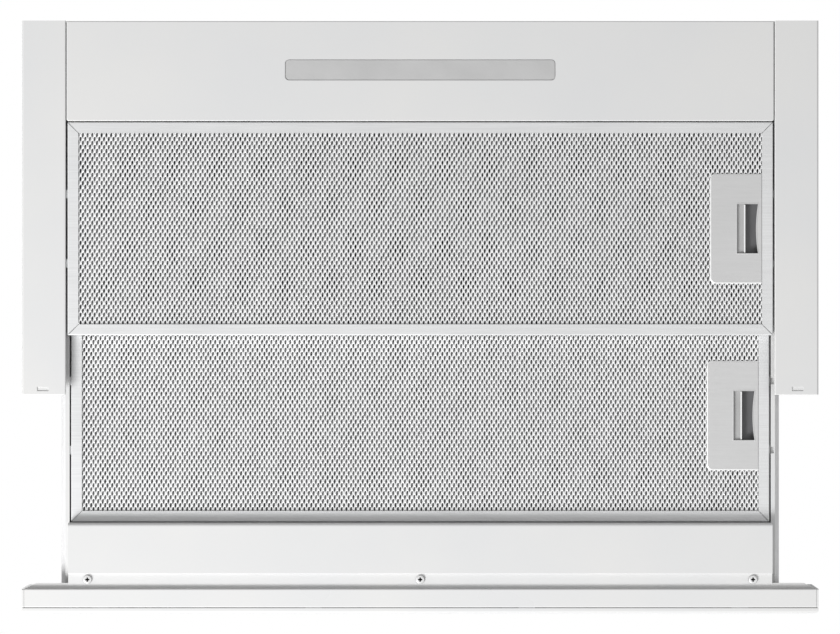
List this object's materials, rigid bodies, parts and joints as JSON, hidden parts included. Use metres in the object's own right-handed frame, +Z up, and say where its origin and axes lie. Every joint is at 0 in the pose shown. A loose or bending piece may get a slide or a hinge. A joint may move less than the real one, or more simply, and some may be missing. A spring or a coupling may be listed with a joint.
{
  "type": "range hood",
  "caption": "Slide-out range hood for under a wall cabinet: hinged mesh filters, lamp panel, drawer with a push-button facia, blower and duct collar.",
  "frame": {"origin": "middle of the underside, with the drawer pulled out", "axes": "+X to the cook's right along the hood's width, +Y towards the kitchen wall, +Z up out of the duct collar"},
  "size_m": [0.598, 0.445, 0.2],
  "materials": {
    "white_paint": "white powder coat, satin",
    "facia_paint": "white enamel, semi-gloss",
    "zinc_sheet": "galvanised sheet, faint spangle",
    "slide_steel": "bright zinc plate",
    "filter_aluminium": "satin anodised",
    "filter_mesh": "expanded mesh, bright",
    "latch_metal": "brushed",
    "latch_slider": "moulded grey",
    "screw_steel": "zinc plated",
    "spring_steel": "drawn wire",
    "lens": "opal diffuser, frosted",
    "light_box": "white inside and out",
    "circuit_board": "white solder mask",
    "driver_case": "moulded light grey",
    "blower_plastic": "moulded black, fine texture",
    "impeller_plastic": "glass-filled, matt",
    "motor_shell": "zinc plated shell",
    "collar_plastic": "moulded black",
    "bezel_plastic": "light grey, gloss",
    "button_plastic": "white, gloss",
    "switch_plastic": "black",
    "capacitor_case": "off-white",
    "terminal_plastic": "light grey",
    "gland_plastic": "black nylon"
  },
  "bodies": {
    "housing": {"side_trim_left": "white_paint", "side_trim_right": "white_paint", "housing_side_left": "zinc_sheet", "housing_side_right": "zinc_sheet", "housing_rear_wall": "zinc_sheet", "housing_top": "zinc_sheet", "housing_front_wall": "zinc_sheet", "lamp_panel": "white_paint", "lamp_lens": "lens", "light_box": "light_box", "lamp_circuit_board": "circuit_board", "lamp_driver": "driver_case", "slide_outer_left": "slide_steel", "slide_outer_right": "slide_steel", "slide_screws": "screw_steel", "volute_left": "blower_plastic", "volute_right": "blower_plastic", "motor": "motor_shell", "motor_bracket": "zinc_sheet", "outlet_collar": "collar_plastic", "capacitor": "capacitor_case", "terminal_box": "terminal_plastic", "cable_gland": "gland_plastic", "drawer_switch": "switch_plastic"},
    "ball_cage_left": {"ball_cage_left": "slide_steel"},
    "ball_cage_right": {"ball_cage_right": "slide_steel"},
    "drawer": {"slide_inner_left": "slide_steel", "slide_inner_right": "slide_steel", "drawer_side_left": "white_paint", "drawer_side_right": "white_paint", "drawer_front_tray": "white_paint", "drawer_cover": "white_paint", "facia_box": "facia_paint", "facia_end_caps": "facia_paint", "facia_front_panel": "facia_paint", "facia_screws": "screw_steel", "control_bezel": "bezel_plastic", "switch_block": "switch_plastic"},
    "rear_filter": {"rear_filter_frame": "filter_aluminium", "rear_filter_face_mesh": "filter_mesh", "rear_filter_back_mesh": "filter_mesh", "rear_latch_plate": "latch_metal", "rear_latch_spring": "spring_steel"},
    "rear_latch": {"rear_latch_slider": "latch_slider"},
    "front_filter": {"front_filter_frame": "filter_aluminium", "front_filter_face_mesh": "filter_mesh", "front_filter_back_mesh": "filter_mesh", "front_latch_plate": "latch_metal", "front_latch_spring": "spring_steel"},
    "front_latch": {"front_latch_slider": "latch_slider"},
    "impeller": {"impeller": "impeller_plastic", "motor_shaft": "slide_steel"},
    "damper_flap_rear": {"damper_flap_rear": "collar_plastic"},
    "damper_flap_front": {"damper_flap_front": "collar_plastic"},
    "switch_plunger": {"switch_plunger": "switch_plastic"},
    "button_off": {"button_off": "button_plastic"},
    "button_speed_1": {"button_speed_1": "button_plastic"},
    "button_speed_2": {"button_speed_2": "button_plastic"},
    "button_speed_3": {"button_speed_3": "button_plastic"},
    "button_light": {"button_light": "button_plastic"}
  },
  "joints": [
    {"name": "drawer_slide", "type": "slide", "parent": "housing", "child": "drawer", "axis": [0, -1, 0], "range_m": [-0.14, 0]},
    {"name": "ball_cage_left_slide", "type": "slide", "parent": "housing", "child": "ball_cage_left", "axis": [0, -1, 0], "range_m": [-0.07, 0]},
    {"name": "ball_cage_right_slide", "type": "slide", "parent": "housing", "child": "ball_cage_right", "axis": [0, -1, 0], "range_m": [-0.07, 0]},
    {"name": "rear_filter_swing", "type": "hinge", "parent": "housing", "child": "rear_filter", "pos_m": [0.2648, 0.0663, 0.0006], "axis": [0, -1, 0], "range_deg": [0, 45]},
    {"name": "front_filter_swing", "type": "hinge", "parent": "drawer", "child": "front_filter", "pos_m": [0.2631, -0.0743, 0.0098], "axis": [0, -1, 0], "range_deg": [0, 36]},
    {"name": "rear_latch_slide", "type": "slide", "parent": "rear_filter", "child": "rear_latch", "axis": [-1, 0, 0], "range_m": [-0.0045, 0.0023], "stiffness_N_per_m": 300},
    {"name": "front_latch_slide", "type": "slide", "parent": "front_filter", "child": "front_latch", "axis": [-1, 0, 0], "range_m": [-0.0045, 0.0023], "stiffness_N_per_m": 300},
    {"name": "impeller_spin", "type": "hinge", "parent": "housing", "child": "impeller", "pos_m": [0, 0.0785, 0.104], "axis": [1, 0, 0], "continuous": true},
    {"name": "damper_flap_rear_swing", "type": "hinge", "parent": "housing", "child": "damper_flap_rear", "pos_m": [0, 0.1125, 0.1823], "axis": [1, 0, 0], "range_deg": [0, 78]},
    {"name": "damper_flap_front_swing", "type": "hinge", "parent": "housing", "child": "damper_flap_front", "pos_m": [0, 0.1125, 0.1823], "axis": [-1, 0, 0], "range_deg": [0, 78]},
    {"name": "switch_plunger_press", "type": "slide", "parent": "housing", "child": "switch_plunger", "axis": [0, 1, 0], "range_m": [0, 0.002], "stiffness_N_per_m": 300},
    {"name": "button_off_press", "type": "slide", "parent": "drawer", "child": "button_off", "axis": [0, 1, 0], "range_m": [0, 0.002], "stiffness_N_per_m": 400},
    {"name": "button_speed_1_press", "type": "slide", "parent": "drawer", "child": "button_speed_1", "axis": [0, 1, 0], "range_m": [0, 0.002], "stiffness_N_per_m": 400},
    {"name": "button_speed_2_press", "type": "slide", "parent": "drawer", "child": "button_speed_2", "axis": [0, 1, 0], "range_m": [0, 0.002], "stiffness_N_per_m": 400},
    {"name": "button_speed_3_press", "type": "slide", "parent": "drawer", "child": "button_speed_3", "axis": [0, 1, 0], "range_m": [0, 0.002], "stiffness_N_per_m": 400},
    {"name": "button_light_press", "type": "slide", "parent": "drawer", "child": "button_light", "axis": [0, 1, 0], "range_m": [0, 0.002], "stiffness_N_per_m": 400}
  ],
  "couplings": [
    {"joint": "ball_cage_left_slide", "follows": "drawer_slide", "ratio": 0.5},
    {"joint": "ball_cage_right_slide", "follows": "drawer_slide", "ratio": 0.5},
    {"joint": "front_filter_swing", "follows": "rear_filter_swing", "ratio": 0.8}
  ]
}
